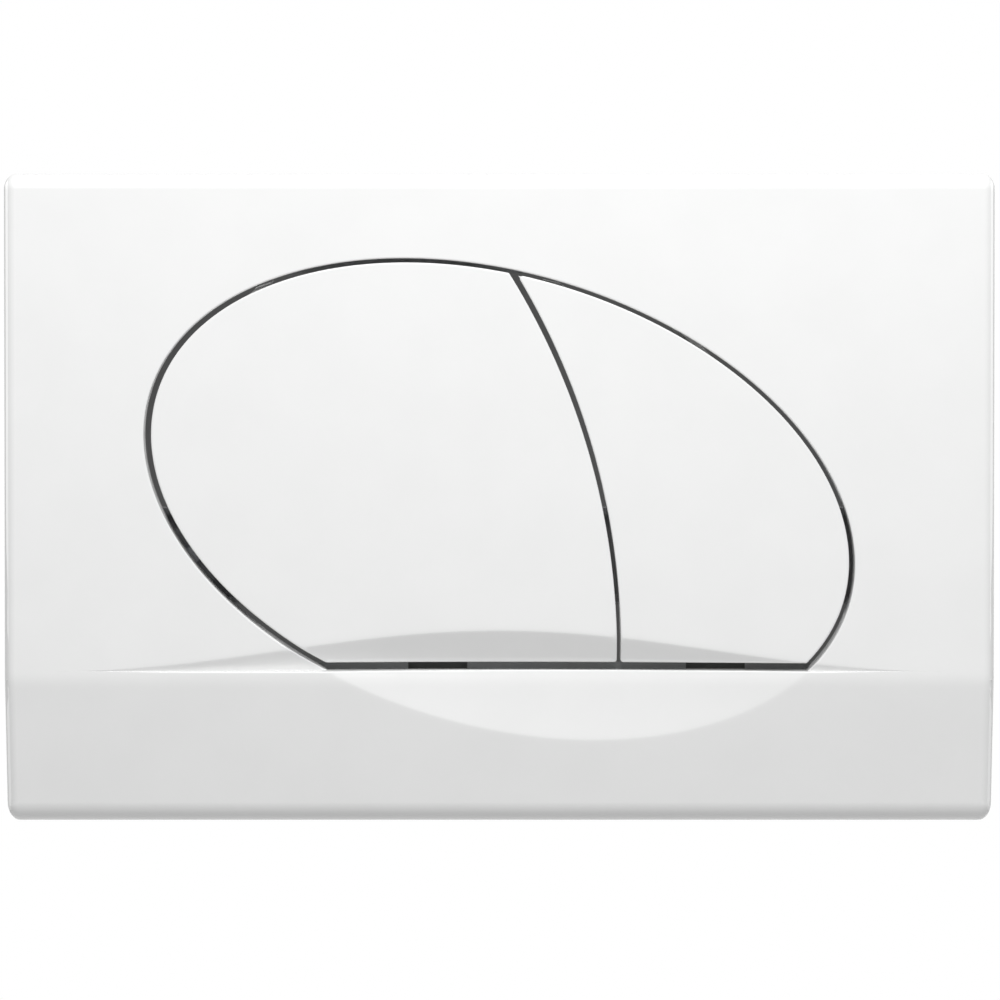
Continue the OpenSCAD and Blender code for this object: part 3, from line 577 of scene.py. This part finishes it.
finishes = {name: moulded(name, look) for name, look in looks.items()}
finishOf = {
    "greyPlastic": ["mounting_frame", "left_fixing_nut", "right_fixing_nut"],
    "creamPlastic": ["large_guide_bush", "small_guide_bush", "large_rod_head", "small_rod_head",
                     "left_spacer_sleeve", "right_spacer_sleeve"],
    "brightSteel": ["large_hinge_pin", "small_hinge_pin", "large_push_rod", "small_push_rod"],
    "zincSteel": ["large_rod_locknut", "small_rod_locknut", "left_fixing_rod", "right_fixing_rod"],
    "springSteel": ["large_rod_clip", "small_rod_clip"],
    "blackRubber": ["large_button_buffers", "small_button_buffer"],
}
for finish, names in finishOf.items():
    for name in names:
        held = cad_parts[name]
        held.data.materials.clear()
        held.data.materials.append(finishes[finish])
for obj in (cover, caps["large"], caps["small"]):
    obj.data.materials.append(finishes["whiteGloss"])
for obj in springPieces.values():
    obj.data.materials.append(finishes["springSteel"])
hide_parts("cover_plate")
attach(cover, "plate")
for which in caps:
    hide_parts(which + "_button")
    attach(caps[which], which + "_button")
print("materials set")

# light, backdrop and camera
stage = {
    "cameraFar": 1.2, "pitch": 2.9, "frameWide": 0.24798, "aim": (0.00017, -0.009, -0.00025),
    "worldLight": 0.41, "lampPower": 3.62, "lampSize": (0.46, 0.30), "lampPlace": (0.035, -0.48, 0.48),
    "lampTurn": (45, 0, 4.2),
}


def backgroundRay(tree):  # one for the rays that see the background: the camera's, and those off gloss or through glass
    path, bounced, wanted = (tree.nodes.new("ShaderNode" + kind) for kind in ("LightPath", "Math", "Math"))
    bounced.operation = wanted.operation = "MAXIMUM"
    tree.links.new(path.outputs["Is Glossy Ray"], bounced.inputs[0])
    tree.links.new(path.outputs["Is Transmission Ray"], bounced.inputs[1])
    tree.links.new(path.outputs["Is Camera Ray"], wanted.inputs[0])
    tree.links.new(bounced.outputs[0], wanted.inputs[1])
    return wanted.outputs[0]


world = bpy.data.worlds.new("studio")
bpy.context.scene.world = world
world.use_nodes = True
tree = world.node_tree
tree.nodes.clear()
light, seen, choose, out = (tree.nodes.new("ShaderNode" + kind) for kind in
                            ("Background", "Background", "MixShader", "OutputWorld"))
light.inputs["Color"].default_value = seen.inputs["Color"].default_value = (1, 1, 1, 1)
light.inputs["Strength"].default_value = stage["worldLight"]
tree.links.new(backgroundRay(tree), choose.inputs[0])
tree.links.new(light.outputs[0], choose.inputs[1])
tree.links.new(seen.outputs[0], choose.inputs[2])
tree.links.new(choose.outputs[0], out.inputs[0])

lampData = bpy.data.lights.new("key", "AREA")
lampData.shape, lampData.energy = "RECTANGLE", stage["lampPower"]
lampData.size, lampData.size_y = stage["lampSize"]
lamp = bpy.data.objects.new("key", lampData)
bpy.context.scene.collection.objects.link(lamp)
lamp.location = stage["lampPlace"]
lamp.rotation_euler = [math.radians(a) for a in stage["lampTurn"]]

# a pale floor below, and two sheets of painted shade with a faint painted glow, behind the plate and behind the rail's
# slots, where the gaps show the dark cistern
room = {
    "floorZ": -0.45, "floorHalf": 1.9, "floorColour": 0.7, "floorGlow": 0.68,
    # the sheets behind the plate and the slots: their dark colour is painted shade, and their glow is painted light
    "spaceY": 0.0225, "spaceHalf": 0.097, "spaceZ": (-0.0575, 0.0575), "spacePaintedGlow": 0.055,
    "slotY": 0.0004, "slotHalf": 0.075, "slotZ": (-0.0462, -0.0413), "slotPaintedGlow": 0.002,
    "paintedShadeColour": 0.25, "lightShare": 0.35,
}


def backdrop(name, points, colour):  # a flat sheet of the stage with a plain matte finish
    mesh = bpy.data.meshes.new(name)
    mesh.from_pydata(points, [], [(0, 1, 2, 3)])
    obj = bpy.data.objects.new(name, mesh)
    bpy.context.scene.collection.objects.link(obj)
    mat = bpy.data.materials.new(name)
    mat.use_nodes = True
    mesh.materials.append(mat)
    shader = mat.node_tree.nodes["Principled BSDF"]
    shader.inputs["Base Color"].default_value = (colour, colour, colour, 1)
    shader.inputs["Roughness"].default_value = 0.9
    return mat.node_tree, shader


def paintedShadeSheet(name, y, half, low, high, paintedGlow):
    # a sheet of painted shade with a faint painted glow; the camera sees it from in front only; from behind it is
    # clear, and it lets a share of all light through
    corners = [(-half, y, low), (half, y, low), (half, y, high), (-half, y, high)]
    tree, shader = backdrop(name, corners, room["paintedShadeColour"])
    shader.inputs["Emission Color"].default_value = (paintedGlow, paintedGlow, paintedGlow, 1)
    shader.inputs["Emission Strength"].default_value = 1
    path, side, wanted, passed, clear, choose = (
        tree.nodes.new("ShaderNode" + kind) for kind in
        ("LightPath", "NewGeometry", "Math", "Math", "BsdfTransparent", "MixShader"))
    wanted.operation, passed.operation = "GREATER_THAN", "MAXIMUM"
    passed.inputs[1].default_value = room["lightShare"]
    tree.links.new(path.outputs["Is Camera Ray"], wanted.inputs[0])
    tree.links.new(side.outputs["Backfacing"], wanted.inputs[1])
    tree.links.new(path.outputs["Is Camera Ray"], passed.inputs[0])
    tree.links.new(passed.outputs[0], clear.inputs["Color"])
    tree.links.new(wanted.outputs[0], choose.inputs[0])
    tree.links.new(clear.outputs[0], choose.inputs[1])
    tree.links.new(shader.outputs[0], choose.inputs[2])
    tree.links.new(choose.outputs[0], tree.nodes["Material Output"].inputs["Surface"])


wide, low = room["floorHalf"], room["floorZ"]
tree, shader = backdrop("floor", [(-wide, -wide, low), (wide, -wide, low), (wide, wide, low), (-wide, wide, low)],
                        room["floorColour"])
shader.inputs["Emission Color"].default_value = (room["floorGlow"],) * 3 + (1,)
tree.links.new(backgroundRay(tree), shader.inputs["Emission Strength"])
# painted shade with a painted glow, seen through the gaps, behind the plate and behind the slots
paintedShadeSheet("paintedShadeBehindPlate", room["spaceY"], room["spaceHalf"], *room["spaceZ"], room["spacePaintedGlow"])
paintedShadeSheet("paintedShadeBehindSlots", room["slotY"], room["slotHalf"], *room["slotZ"], room["slotPaintedGlow"])

cameraData = bpy.data.cameras.new("camera")
camera = bpy.data.objects.new("camera", cameraData)
bpy.context.scene.collection.objects.link(camera)
bpy.context.scene.camera = camera
pitch = math.radians(stage["pitch"])
camera.location = np.array(stage["aim"]) + stage["cameraFar"] * np.array([0, -math.cos(pitch), math.sin(pitch)])
camera.rotation_euler = (math.pi / 2 - pitch, 0, 0)
cameraData.sensor_width = 36
cameraData.lens = cameraData.sensor_width * stage["cameraFar"] / stage["frameWide"]
cameraData.clip_end = 50

bpy.context.scene.view_settings.view_transform = "Standard"
print("scene ready")
